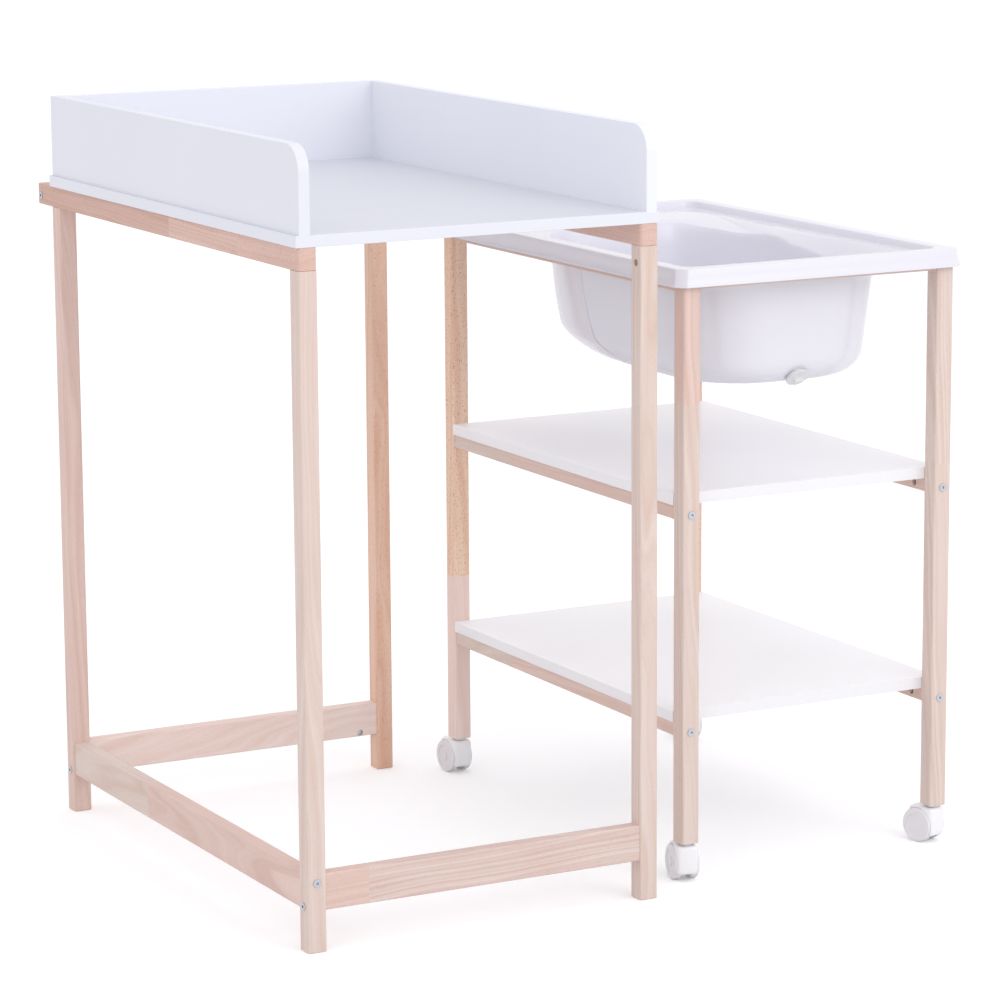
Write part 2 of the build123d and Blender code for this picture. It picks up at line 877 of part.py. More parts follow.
# The drain sits where the basin's bottom edge leans as far as its plug
drain_lean = radians(plug_lean)
bottom_round_centre = Vector(
    trolley_centre_x,
    trolley_centre_y + basin_front + shoulder_front + draft_front + bottom_round,
    ledge_top - basin_depth + bottom_round,
)
drain_out = Vector(0, -sin(drain_lean), -cos(drain_lean))
drain_centre = bottom_round_centre + drain_out * (bottom_round + drain_boss_proud)
drain_face = Plane(origin=drain_centre, x_dir=RIGHT, z_dir=drain_out)

with BuildPart() as basin:
    loft([basin_outline(level, 0) for level in basin_levels()], ruled=True)
    loft(
        [basin_outline(level, tub_wall) for level in basin_levels()],
        ruled=True,
        mode=Mode.SUBTRACT,
    )

# A thicker place with a flat outer face, for the drain
with BuildPart() as drain_boss:
    with BuildSketch(drain_face):
        Circle(drain_boss_radius)
    extrude(amount=-drain_boss_depth)
    with Locations(Plane(origin=bottom_round_centre, z_dir=RIGHT)):
        Cylinder(bottom_round - drain_boss_root, 4 * drain_boss_radius, mode=Mode.SUBTRACT)

with BuildPart() as tub:
    loft(
        [
            rim_outline(skirt_bottom + skirt_lip_height, skirt_lip, rim_corner_cut),
            rim_outline(rim_top, skirt_lip + skirt_flare, rim_corner_cut),
        ]
    )
    fillet(tub.faces().sort_by(Axis.Z)[-1].edges(), rim_edge_round)
    extrude(rim_outline(skirt_bottom, 0, rim_corner_cut), amount=skirt_lip_height)
    loft(
        [
            rim_outline(skirt_bottom, skirt_lip + tub_wall, rim_corner_cut - skirt_lip),
            rim_outline(
                rim_top - tub_wall, skirt_lip + skirt_flare + tub_wall, rim_corner_cut - skirt_lip
            ),
        ],
        mode=Mode.SUBTRACT,
    )
    with BuildSketch(Plane((trolley_centre_x, trolley_centre_y, trolley_top))):
        RectangleRounded(
            2 * (mouth_half_width + tub_wall),
            2 * (mouth_half_length + tub_wall),
            rim_mouth_round + tub_wall,
        )
    extrude(amount=rim_top - trolley_top - rim_edge_round)
    with BuildSketch(Plane((trolley_centre_x, trolley_centre_y, ledge_top))):
        RectangleRounded(2 * mouth_half_width, 2 * mouth_half_length, rim_mouth_round)
    extrude(amount=rim_top, mode=Mode.SUBTRACT)
    with BuildSketch(Plane.XY.offset(ledge_top)):
        add(basin_outline(basin_levels()[0], tub_wall / 2))
    extrude(amount=-tub_wall, mode=Mode.SUBTRACT)
    add(basin.part)
    add(drain_boss.part)
    drill(drain_face.offset(plug_flange), plug_radius + plug_play, drain_boss_depth + plug_flange)
keep(tub, "tub")

with BuildPart() as drain_plug:
    with BuildSketch(drain_face.offset(seal_thickness)):
        Circle(plug_flange_radius)
    extrude(amount=plug_flange)
    flange_face = drain_plug.faces().sort_by(Axis(drain_centre, drain_out))[-1]
    fillet(flange_face.edges(), plug_flange / 3)
    with BuildSketch(drain_face.offset(seal_thickness)):
        Circle(plug_radius)
    extrude(amount=-plug_length)
    with BuildSketch(drain_face.offset(seal_thickness - plug_length)):
        Circle(plug_radius - plug_wall)
    extrude(amount=plug_length, mode=Mode.SUBTRACT)
    with BuildSketch(drain_face.offset(seal_thickness + plug_flange)):
        SlotOverall(plug_tab_width, plug_tab_thickness)
    extrude(amount=plug_tab_height)
keep(drain_plug, "drain_plug")

with BuildPart() as plug_seal:
    with BuildSketch(drain_face):
        Circle(plug_flange_radius - seal_inset)
        Circle(plug_radius + plug_play, mode=Mode.SUBTRACT)
    extrude(amount=seal_thickness)
keep(plug_seal, "plug_seal")
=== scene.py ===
# %% [markdown]
# # A changing table and its bath trolley
# The frame from the workshop is already exact: legs, rails, boards, bolts and castors
# sit where they belong. This lesson gives them their surfaces, and models the bathtub
# again as one smooth moulded skin, because a moulding has no facets.

from math import atan2, cos, degrees, radians, sin, tan

import bmesh
import bpy
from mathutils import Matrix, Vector


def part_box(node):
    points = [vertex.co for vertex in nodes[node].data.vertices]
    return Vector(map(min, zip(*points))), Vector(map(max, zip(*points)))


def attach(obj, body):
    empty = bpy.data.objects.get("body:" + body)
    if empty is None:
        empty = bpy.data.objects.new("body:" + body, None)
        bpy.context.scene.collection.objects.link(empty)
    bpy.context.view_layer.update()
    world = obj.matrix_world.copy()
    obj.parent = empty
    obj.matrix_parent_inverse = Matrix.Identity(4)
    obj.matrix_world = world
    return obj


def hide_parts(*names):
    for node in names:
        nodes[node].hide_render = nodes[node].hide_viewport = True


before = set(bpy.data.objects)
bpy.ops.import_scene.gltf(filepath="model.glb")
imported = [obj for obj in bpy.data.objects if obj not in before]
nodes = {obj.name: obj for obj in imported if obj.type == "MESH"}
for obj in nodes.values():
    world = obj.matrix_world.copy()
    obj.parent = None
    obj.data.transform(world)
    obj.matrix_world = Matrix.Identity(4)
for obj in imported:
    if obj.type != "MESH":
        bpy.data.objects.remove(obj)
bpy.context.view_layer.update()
print("The frame has", len(nodes), "nodes")

# %% [markdown]
# Every operator in Blender acts on what is selected. After loading, all the nodes are
# selected, so each step starts by selecting nothing, or only the piece it works on.


# %% Select one piece, or nothing
def pick(piece=None):
    """Select one object alone and make it active, or select nothing."""
    if bpy.context.object and bpy.context.object.mode != "OBJECT":
        bpy.ops.object.mode_set(mode="OBJECT")
    bpy.ops.object.select_all(action="DESELECT")
    if piece:
        piece.select_set(True)
        bpy.context.view_layer.objects.active = piece


def settle(piece, name):
    """Name a piece and move its place into its mesh, so its object sits at the origin."""
    pick(piece)
    bpy.ops.object.transform_apply(location=True, rotation=True, scale=True)
    piece.name = name
    piece.data.name = name
    return piece


pick()
print("Selected now:", len(bpy.context.selected_objects))

# %% [markdown]
# ## The camera first
# The picture is taken from far off with a long lens, from the table's front left corner
# and a little above it. A long lens keeps the legs almost parallel.

# %% Place the camera
CAMERA_PLACE = (-2.6551, -4.9948, 1.5680)
CAMERA_TURN = (79.153, 0.352, -28.091)
LENS = 143.17

bpy.ops.object.camera_add(location=CAMERA_PLACE, rotation=[radians(turn) for turn in CAMERA_TURN])
camera = bpy.context.object
camera.name = "camera"
camera.data.sensor_width = 36
camera.data.lens = LENS
camera.data.clip_end = 60
bpy.context.scene.camera = camera
print("The lens is", round(camera.data.lens, 1), "mm long")

# %% [markdown]
# ## Finishes
# A finish is a small network of nodes. Two helpers keep the networks short to read:
# one adds a node with its settings, the other starts a material.


# %% Helpers for node networks
def put(tree, kind, settings=None, **inputs):
    """Add a node, set its properties, then feed its inputs with values or sockets."""
    node = tree.nodes.new(kind)
    for name, value in (settings or {}).items():
        setattr(node, name, value)
    for name, value in inputs.items():
        socket = node.inputs[int(name[1:])] if name[1:].isdigit() else node.inputs[name]
        if isinstance(value, bpy.types.NodeSocket):
            tree.links.new(value, socket)
        else:
            socket.default_value = value
    return node


def compute(tree, operation, *values):
    """A math node on numbers or sockets. Returns its result."""
    inputs = {f"i{place}": value for place, value in enumerate(values)}
    return put(tree, "ShaderNodeMath", {"operation": operation}, **inputs).outputs[0]


def vector(tree, operation, first, second):
    """A math node on two vectors. Returns its result."""
    return put(tree, "ShaderNodeVectorMath", {"operation": operation}, i0=first, i1=second).outputs[0]


def noise(tree, place, scale, detail):
    """Soft noise at a scale. Returns the node, which has a value and a colour."""
    return put(tree, "ShaderNodeTexNoise", None, Vector=place, Scale=scale, Detail=detail)


def total(tree, *terms):
    """A sum of values, each with its weight."""
    parts = [compute(tree, "MULTIPLY", value, weight) for value, weight in terms]
    result = parts[0]
    for part in parts[1:]:
        result = compute(tree, "ADD", result, part)
    return result


def blend(tree, share, first, second, mode="MIX"):
    """Blend two colours by a share. Returns the colour."""
    settings = {"data_type": "RGBA", "blend_type": mode}
    node = put(tree, "ShaderNodeMix", settings, i0=share, i6=first, i7=second)
    return node.outputs[2]


def spread(tree, value, low, high, out_low=0.0, out_high=1.0):
    """Stretch a value from one range to another, held at its ends."""
    ends = {"i1": low, "i2": high, "i3": out_low, "i4": out_high}
    return put(tree, "ShaderNodeMapRange", None, i0=value, **ends).outputs[0]


def new_finish(name):
    """An empty material with its surface shader and the piece's own coordinates."""
    finish = bpy.data.materials.new(name)
    finish.use_nodes = True
    tree = finish.node_tree
    surface = tree.nodes["Principled BSDF"]
    place = put(tree, "ShaderNodeTexCoord").outputs["Object"]
    return finish, tree, surface, place


def new_group(name, inputs, outputs):
    """A node group with named inputs and outputs. Each is a name and a kind of socket."""
    group = bpy.data.node_groups.new(name, "ShaderNodeTree")
    for label, kind in inputs:
        group.interface.new_socket(label, in_out="INPUT", socket_type=kind)
    for label, kind in outputs:
        group.interface.new_socket(label, in_out="OUTPUT", socket_type=kind)
    return group, group.nodes.new("NodeGroupInput"), group.nodes.new("NodeGroupOutput")


# %% [markdown]
# Beech is a pale, pinkish wood. Its year rings lie close and are soft, its fibres are
# fine, and short brown flecks run along them. The wood is cut from a round trunk, so a
# solid pattern of rings round a far middle gives straight lines on a bar's sides and
# arcs on its ends, as on the real bars. An image would stop at every edge. The group
# below draws the wood along its own Z. PITH is how far off the trunk's middle lies,
# LEAN how much it leans, and WAVE how far the grain strays from straight. Each block
# of a bar is cut from another place in the trunk, BLOCK_SHIFT away from the last.

# %% The beech pattern, and how the grain strays
NUMBER = "NodeSocketFloat"
COLOUR = "NodeSocketColor"
VECTOR = "NodeSocketVector"
PITH = (0.11, 0.07)
LEAN = 0.045
WAVE = 0.030
WAVE_SCALE = 16.0
SLOW_STRETCH = (1, 1, 0.16)
BLOCK_SHIFT = (0.037, 0.023, 0.71)
FLECK_COLOUR = (0.62, 0.47, 0.38, 1)
FLECK_DEPTH = 0.4

beech_pattern, given, result = new_group(
    "beech_pattern",
    [
        ("Place", VECTOR),
        ("Block", NUMBER),
        ("Pale", COLOUR),
        ("Deep", COLOUR),
        ("Flecks", NUMBER),
        ("Tilt", NUMBER),
    ],
    [("Colour", COLOUR), ("Roughness", NUMBER), ("Height", NUMBER)],
)
tree = beech_pattern
block = given.outputs["Block"]
shift = put(
    tree,
    "ShaderNodeCombineXYZ",
    None,
    i0=compute(tree, "MULTIPLY", block, BLOCK_SHIFT[0]),
    i1=compute(tree, "MULTIPLY", block, BLOCK_SHIFT[1]),
    i2=compute(tree, "MULTIPLY", block, BLOCK_SHIFT[2]),
)
moved = vector(tree, "ADD", given.outputs["Place"], shift.outputs[0])
slow = vector(tree, "MULTIPLY", moved, SLOW_STRETCH)
straying = noise(tree, slow, WAVE_SCALE, 2.0).outputs["Color"]
centred = vector(tree, "SUBTRACT", straying, (0.5, 0.5, 0.5))
bent = vector(tree, "MULTIPLY", centred, (WAVE, WAVE, WAVE))
warped = vector(tree, "ADD", moved, bent)
print("The grain strays by up to", round(WAVE / 2 * 1000), "mm")

# %% [markdown]
# The rings are noise along the distance from the trunk's middle. Fibres and flecks are
# noise that is stretched along the grain, and broad patches change the tone of a board.
# A sum of rings, fibres and patches blends the pale colour into the deep one.

# %% The rings, fibres and flecks of beech
RING_SCALE = 210.0
FIBRE_SCALE = 900.0
FIBRE_STRETCH = (1, 1, 0.025)
PATCH_SCALE = 34.0
FLECK_SCALE = 620.0
FLECK_STRETCH = (1, 1, 0.42)

x, y, z = put(tree, "ShaderNodeSeparateXYZ", None, i0=warped).outputs
across = compute(tree, "ADD", compute(tree, "ADD", x, PITH[0]), compute(tree, "MULTIPLY", z, LEAN))
aslant = compute(tree, "MULTIPLY", z, given.outputs["Tilt"])
along = compute(tree, "ADD", compute(tree, "ADD", y, PITH[1]), aslant)
squares = compute(tree, "ADD", compute(tree, "POWER", across, 2.0), compute(tree, "POWER", along, 2.0))
radius = compute(tree, "SQRT", squares)
ring_look = {"W": radius, "Scale": RING_SCALE, "Detail": 3.0, "Roughness": 0.62}
rings = put(tree, "ShaderNodeTexNoise", {"noise_dimensions": "1D"}, **ring_look)
fibres = noise(tree, vector(tree, "MULTIPLY", warped, FIBRE_STRETCH), FIBRE_SCALE, 3.0)
patches = noise(tree, slow, PATCH_SCALE, 1.0)
tone = total(tree, (rings.outputs[0], 0.62), (fibres.outputs[0], 0.13), (patches.outputs[0], 0.25))
wood = blend(tree, spread(tree, tone, 0.36, 0.66), given.outputs["Pale"], given.outputs["Deep"])
specks = noise(tree, vector(tree, "MULTIPLY", moved, FLECK_STRETCH), FLECK_SCALE, 1.0)
fleck = compute(tree, "MULTIPLY", spread(tree, specks.outputs[0], 0.60, 0.72), given.outputs["Flecks"])
flecked = blend(tree, fleck, wood, FLECK_COLOUR, "MULTIPLY")
tree.links.new(flecked, result.inputs["Colour"])
tree.links.new(spread(tree, tone, 0.3, 0.7, 0.50, 0.62), result.inputs["Roughness"])
height = compute(tree, "SUBTRACT", tone, compute(tree, "MULTIPLY", fleck, FLECK_DEPTH))
tree.links.new(height, result.inputs["Height"])
print("The beech pattern has", len(tree.nodes), "nodes")

# %% [markdown]
# Long bars of beech are glued up from shorter blocks with finger joints, so a bar
# changes its tone at each joint. The finish takes the places of the joints along the
# bar, and a pair of colours for each block. A zigzag across the bar draws the fingers.
# A Mapping node turns the pattern so that its grain runs along the bar. A bar sawn near
# the trunk's heart and a little aslant shows long loops: heart is how far the pattern is
# moved for that, and tilt is how aslant it lies.


# %% A beech finish for bars in any direction
TURNS = {"Z": (0, 0, 0), "Y": (radians(90), 0, 0), "X": (0, radians(90), 0)}
FINGER_HALF = 0.0034
FINGER_STEEP = 2.6
EVERYWHERE = -9.0


def beech(name, direction, blocks, joints=(), flecks=0.16, flecks_from=EVERYWHERE, **sawn):
    """Beech with its grain along X, Y or Z. Each block is a pale and a deep colour.

    The flecks begin at the place flecks_from along the bar. sawn may hold heart and tilt.
    """
    finish, tree, surface, place = new_finish(name)
    parts = put(tree, "ShaderNodeSeparateXYZ", None, i0=place)
    along = parts.outputs["XYZ".index(direction)]
    comb = parts.outputs["XYZ".index("X" if direction == "Y" else "Y")]
    zigzag = compute(tree, "PINGPONG", comb, FINGER_HALF)
    edge = compute(tree, "ADD", along, compute(tree, "MULTIPLY", zigzag, FINGER_STEEP))
    block = 0.0
    pale = (*blocks[0][0], 1)
    deep = (*blocks[0][1], 1)
    for place_along, (next_pale, next_deep) in zip(joints, blocks[1:]):
        past = compute(tree, "GREATER_THAN", edge, place_along)
        block = compute(tree, "ADD", block, past)
        pale = blend(tree, past, pale, (*next_pale, 1))
        deep = blend(tree, past, deep, (*next_deep, 1))
    speckle = compute(tree, "MULTIPLY", compute(tree, "GREATER_THAN", edge, flecks_from), flecks)
    placing = {"Rotation": TURNS[direction], "Location": sawn.get("heart", (0, 0, 0))}
    turned = put(tree, "ShaderNodeMapping", None, Vector=place, **placing)
    pattern = put(
        tree,
        "ShaderNodeGroup",
        {"node_tree": beech_pattern},
        Place=turned.outputs[0],
        Block=block,
        Pale=pale,
        Deep=deep,
        Flecks=speckle,
        Tilt=sawn.get("tilt", 0.0),
    )
    relief = {"Height": pattern.outputs["Height"], "Strength": 0.18, "Distance": 0.0006}
    bump = put(tree, "ShaderNodeBump", None, **relief)
    tree.links.new(pattern.outputs["Colour"], surface.inputs["Base Color"])
    tree.links.new(pattern.outputs["Roughness"], surface.inputs["Roughness"])
    tree.links.new(bump.outputs[0], surface.inputs["Normal"])
    return finish


print("A finger of a joint is", round(FINGER_HALF * FINGER_STEEP * 1000), "mm long")

# %% [markdown]
# No two bars are of one tone. Each pair is a pale and a deep colour of one board, as
# the bars on the table and the trolley show them. The back left post of the trolley is
# full of flecks above its joint, and clean below it. Its colours and the tan of the back
# right legs are also painted lighter than their wood, as painted light for the shade
# under the tray.

# %% Beech for each kind of bar
PALE = ((0.78, 0.66, 0.60), (0.70, 0.53, 0.45))
# CREAM_WITH_PAINTED_LIGHT, WARM_WITH_PAINTED_LIGHT and TAN_WITH_PAINTED_LIGHT are browner beech tones,
# painted lighter as painted light for legs in the shade under the tray.
CREAM_WITH_PAINTED_LIGHT = ((0.93, 0.76, 0.69), (0.87, 0.65, 0.57))
ROSY = ((0.80, 0.61, 0.54), (0.70, 0.49, 0.42))
TAN_WITH_PAINTED_LIGHT = ((0.90, 0.63, 0.50), (0.77, 0.47, 0.33))
WARM_WITH_PAINTED_LIGHT = ((0.94, 0.71, 0.55), (0.86, 0.56, 0.40))
DUSK = ((0.77, 0.54, 0.46), (0.67, 0.43, 0.36))
DARK = ((0.71, 0.48, 0.40), (0.60, 0.37, 0.30))
LOOPED = ((0.79, 0.67, 0.61), (0.66, 0.46, 0.40))
BRIGHT = ((0.93, 0.78, 0.72), (0.83, 0.63, 0.55))
FLECKED_JOINT = 0.316

leg_pale = beech("beech_leg", "Z", [PALE])
leg_rosy = beech("beech_leg_rosy", "Z", [ROSY])
leg_tan_painted_light = beech("beech_leg_tan", "Z", [TAN_WITH_PAINTED_LIGHT], flecks=0.45)
post_flecked_painted_light = beech("beech_post_flecked", "Z", [CREAM_WITH_PAINTED_LIGHT, WARM_WITH_PAINTED_LIGHT], [FLECKED_JOINT], 1.0, FLECKED_JOINT)
post_front = beech("beech_post_front", "Z", [PALE, ROSY], [0.683])
post_right = beech("beech_post_right", "Z", [PALE, PALE], [0.564])
side_rail = beech("beech_side_rail", "Y", [DUSK, DUSK, DARK], [-0.255, -0.03], 0.6)
long_bar = beech("beech_long", "Y", [ROSY, PALE], [0.10])
back_bar = beech("beech_back", "X", [BRIGHT], heart=(0.05, 0.24, 0.02), tilt=0.05)
cross_bar = beech("beech_cross", "X", [ROSY, LOOPED], [-0.43], heart=(-0.03, 0.24, 0), tilt=0.05)
print("The finish of the cross bars has", len(cross_bar.node_tree.nodes), "nodes")

# %% [markdown]
# ## White boards, mouldings and metal
# A melamine board has a very fine orange peel. Moulded plastic is smoother and
# glossier, with a hint of flow. One group makes both from two layers of noise: its
# output is a small change of tone and a height for the bump.

# %% The fine skin of boards and mouldings
DUST = (0.5, 0.5, 0.55, 1)
fine_skin, given, result = new_group(
    "fine_skin",
    [("Place", VECTOR), ("Grain", NUMBER), ("Colour", COLOUR), ("Shift", NUMBER)],
    [("Colour", COLOUR), ("Tone", NUMBER), ("Height", NUMBER)],
)
tree = fine_skin
fine = noise(tree, given.outputs["Place"], given.outputs["Grain"], 2.0).outputs[0]
broad = noise(tree, given.outputs["Place"], 5.0, 1.0).outputs[0]
tone = total(tree, (fine, 0.4), (broad, 0.6))
darker = compute(tree, "MULTIPLY", spread(tree, tone, 0.35, 0.65), given.outputs["Shift"])
tree.links.new(blend(tree, darker, given.outputs["Colour"], DUST), result.inputs["Colour"])
tree.links.new(tone, result.inputs["Tone"])
tree.links.new(fine, result.inputs["Height"])


def plain_finish(name, colour, grain, roughness, bump, shift=0.03, others=None):
    """A coloured surface with a fine skin. Roughness is its low and its high value.

    others are further inputs of the surface shader, set on its own sockets.
    """
    finish, tree, surface, place = new_finish(name)
    look = {"Place": place, "Grain": grain, "Colour": (*colour, 1), "Shift": shift}
    skin = put(tree, "ShaderNodeGroup", {"node_tree": fine_skin}, **look)
    relief = {"Height": skin.outputs["Height"], "Strength": bump, "Distance": 0.0004}
    bump_node = put(tree, "ShaderNodeBump", None, **relief)
    tree.links.new(skin.outputs["Colour"], surface.inputs["Base Color"])
    tree.links.new(spread(tree, skin.outputs["Tone"], 0.3, 0.7, *roughness), surface.inputs["Roughness"])
    tree.links.new(bump_node.outputs[0], surface.inputs["Normal"])
    for label, value in (others or {}).items():
        surface.inputs[label].default_value = value
    return finish


print("The fine skin has", len(fine_skin.nodes), "nodes")

# %% [markdown]
# The whites differ a little: the boards are a cool white, the shelves and castors a
# plain one, and the tub has a hint of violet. The tray's inner boards take the boards'
# white painted lighter, as painted light, and the tray panel's face is painted greyer,
# as painted shade. Zinc is a metal, and the drain plug lets some light through. Those
# values go straight to the shader's own sockets.

# %% Finishes of boards, mouldings and metal
BOARD = (0.80, 0.81, 0.87)
# The tray panel's face: the boards' white painted greyer, as painted shade on the tray's floor.
PANEL_PAINTED_SHADE = (0.69, 0.70, 0.76)
PEEL = (1400.0, (0.36, 0.44), 0.10)

panel_painted_shade = plain_finish("panel_painted_shade", PANEL_PAINTED_SHADE, *PEEL)
board_white = plain_finish("board_white", BOARD, *PEEL)
# The tray's inner boards: the boards' white painted lighter, as painted light inside the tray.
inner_white_painted_light = plain_finish("inner_white_painted_light", (0.86, 0.87, 0.93), *PEEL)
shelf_white = plain_finish("shelf_white", (0.90, 0.89, 0.91), *PEEL)
tub_white = plain_finish("tub_white", (0.80, 0.79, 0.85), 240.0, (0.16, 0.22), 0.03)
castor_white = plain_finish("castor_white", (0.95, 0.94, 0.96), 500.0, (0.26, 0.34), 0.05)
tread_white = plain_finish("tread_white", (0.86, 0.84, 0.86), 700.0, (0.42, 0.52), 0.10)
seal_white = plain_finish("seal_white", (0.78, 0.78, 0.80), 900.0, (0.60, 0.70), 0.10)
zinc = plain_finish("zinc", (0.50, 0.53, 0.58), 800.0, (0.22, 0.36), 0.12, 0.12, {"Metallic": 1.0})
see_through = {"Transmission Weight": 0.30, "IOR": 1.49}
clear = plain_finish("clear_plastic", (0.99, 0.99, 1.0), 300.0, (0.10, 0.16), 0.03, 0.0, see_through)
print("The finish of the tub has", len(tub_white.node_tree.nodes), "nodes")

# %% [markdown]
# The tray panel's top face is painted greyer than the boards round it, as painted shade
# on the tray's floor, and its edges carry a strip of the boards' white. One test of the
# height tells the face from the edges.

# %% A strip along the tray panel's edges
STRIP_BELOW_FACE = 0.0004
tree = panel_painted_shade.node_tree
place = put(tree, "ShaderNodeTexCoord").outputs["Object"]
height = put(tree, "ShaderNodeSeparateXYZ", None, i0=place).outputs[2]
# Painted shade: the panel's top face takes the greyer colour, its edges the boards' white.
painted_shade_face = compute(tree, "GREATER_THAN", height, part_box("tray_base")[1].z - STRIP_BELOW_FACE)
skin = next(node for node in tree.nodes if node.type == "GROUP")
tree.links.new(blend(tree, painted_shade_face, (*BOARD, 1), (*PANEL_PAINTED_SHADE, 1)), skin.inputs["Colour"])

# %% [markdown]
# Each node of the frame now gets its finish by its name. The mesh and the place of a
# node are never touched.


# %% Give the nodes their finishes
BY_NAME = {
    "tray_base": panel_painted_shade,
    "tray_side_left": board_white,
    "shelf_upper": shelf_white,
    "shelf_lower": shelf_white,
    "drain_plug": clear,
    "plug_seal": seal_white,
    "tub": tub_white,
    "castor_stems": zinc,
    "table_leg_front_left": leg_pale,
    "table_leg_front_right": leg_pale,
    "table_leg_back_left": leg_rosy,
    "table_leg_back_right": leg_tan_painted_light,
    "trolley_leg_back_left": post_flecked_painted_light,
    "trolley_leg_front_left": post_front,
    "trolley_leg_front_right": post_right,
    "trolley_leg_back_right": leg_tan_painted_light,
    "top_rail_left": side_rail,
    "top_rail_right": side_rail,
    "stretcher_back": back_bar,
    "stretcher_front": cross_bar,
    "top_rail_rear": cross_bar,
    "trolley_rail_front": cross_bar,
    "trolley_rail_back": cross_bar,
}
BY_WORD = [
    ("bolts", zinc),
    ("nuts", zinc),
    ("screws", zinc),
    ("axle", zinc),
    # The tray's other boards take the lighter white, which is painted light.
    ("tray_", inner_white_painted_light),
    ("castor_hood", castor_white),
    ("wheel_", tread_white),
]


def finish_for(name):
    """The finish of a node: by its own name, by a word in it, or else a long bar's."""
    if name in BY_NAME:
        return BY_NAME[name]
    for word, finish in BY_WORD:
        if word in name:
            return finish
    return long_bar


for name, node in nodes.items():
    node.data.materials.clear()
    node.data.materials.append(finish_for(name))
print("Finishes are on", len(nodes), "nodes")

# %% [markdown]
# ## The bathtub
# The tub is one sheet of plastic drawn into a mould: a skirt and a flat rim, a small
# step down to a ledge, soft shoulders, and a deep basin with a round back end. It is
# made here as a set of outlines, one inside the other, each with the same number of
# points. The first is a circle primitive whose points are set on the skirt's foot.
# Each extrusion of that edge is set on the next outline. Solidify gives the wall.

# %% Corners for the tub's outlines
tub_low, tub_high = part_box("tub")
tub_x = (tub_low.x + tub_high.x) / 2
tub_y = (tub_low.y + tub_high.y) / 2
foot_x = (tub_high.x - tub_low.x) / 2
foot_y = (tub_high.y - tub_low.y) / 2
rim_z = tub_high.z
WALL = 0.003
LEDGE_DROP = 0.011
CORNER_STEPS = 14
CUT_STEPS = 5
SIDE_STEPS = 26
END_STEPS = 10


def run(start, end, steps):
    """The points between two places, without the places themselves."""
    shares = [step / steps for step in range(1, steps)]
    return [
        (start[0] + share * (end[0] - start[0]), start[1] + share * (end[1] - start[1]))
        for share in shares
    ]


def round_corner(reach_x, reach_y, kink=0.0):
    """A quarter of an ellipse, as distances in from a corner. It can start at an angle."""
    points = []
    for step in range(CORNER_STEPS + 1):
        turn = kink + (radians(90) - kink) * step / CORNER_STEPS
        points.append((
            reach_x * (cos(kink) - cos(turn)) / cos(kink),
            reach_y * (1 - sin(turn)) / (1 - sin(kink)),
        ))
    return points


def cut_corner(cut, radius):
    """A corner cut off at 45 degrees, with both its edges rounded."""
    reach = radius * tan(radians(45 / 2))
    points = []
    for step in range(CUT_STEPS + 1):
        turn = radians(45) * step / CUT_STEPS
        points.append((radius * (1 - cos(turn)), cut + reach - radius * sin(turn)))
    mirrored = [(y, x) for x, y in reversed(points)]
    middle = run(points[-1], mirrored[0], CORNER_STEPS - 2 * CUT_STEPS)
    return points + middle + mirrored


print("A round corner has", len(round_corner(0.1, 0.1)), "points and a cut one", len(cut_corner(0.1, 0.1)))

# %% [markdown]
# An outline joins four corners with straight runs. Two thin raised lines run down the
# outside of the basin, where the round back end starts. The outlines carry them as
# four close points beside each back corner, and the lines are raised at the end.

# %% Outlines for the tub
LINE_STEPS = (0.0030, 0.0046, 0.0062, 0.0078)
RIM_CUT = 0.013
RIM_CUT_ROUND = 0.005
STEP_CORNER = 0.048


def outline(half, front, back, front_corner, back_corner, height):
    """Points round an outline, from the back right corner on, anticlockwise from above."""
    back_right = [(half - x, back - y) for x, y in back_corner]
    front_right = [(half - x, front + y) for x, y in reversed(front_corner)]
    back_left = [(-x, y) for x, y in reversed(back_right)]
    front_left = [(-x, y) for x, y in reversed(front_right)]
    side_end = back_right[0][1]
    line_right = [(half, side_end - down) for down in reversed(LINE_STEPS)]
    line_left = [(-x, y) for x, y in reversed(line_right)]
    points = (
        back_right
        + run(back_right[-1], back_left[0], END_STEPS)
        + back_left
        + line_left
        + run(line_left[-1], front_left[0], SIDE_STEPS)
        + front_left
        + run(front_left[-1], front_right[0], END_STEPS)
        + front_right
        + run(front_right[-1], line_right[0], SIDE_STEPS)
        + line_right
    )
    return [Vector((tub_x + x, tub_y + y, height)) for x, y in points]


def rim(inset, drop):
    """An outline of the skirt and rim, whose corners are cut."""
    corner = cut_corner(RIM_CUT, RIM_CUT_ROUND)
    return outline(foot_x - inset, inset - foot_y, foot_y - inset, corner, corner, rim_z - drop)


def ledge_step(inset, drop):
    """An outline of the step inside the rim, whose corners are round."""
    corner = round_corner(STEP_CORNER - inset, STEP_CORNER - inset)
    return outline(foot_x - inset, inset - foot_y, foot_y - inset, corner, corner, rim_z - drop)


print("An outline has", len(rim(0, 0)), "points")


# %% [markdown]
# The basin's outlines follow the frame's tub. The shoulder slopes gently inwards to a
# crease and then drops. The crease isn't level: it lies high round the back end, dips
# where an arm rests, rises at the elbow and falls towards the feet.
#
# SHOULDER holds the section of the shoulder: how far down, how far inwards, and how
# much of the crease's rise each outline takes, all as shares. CREASE holds places
# along the tub and the rise there.

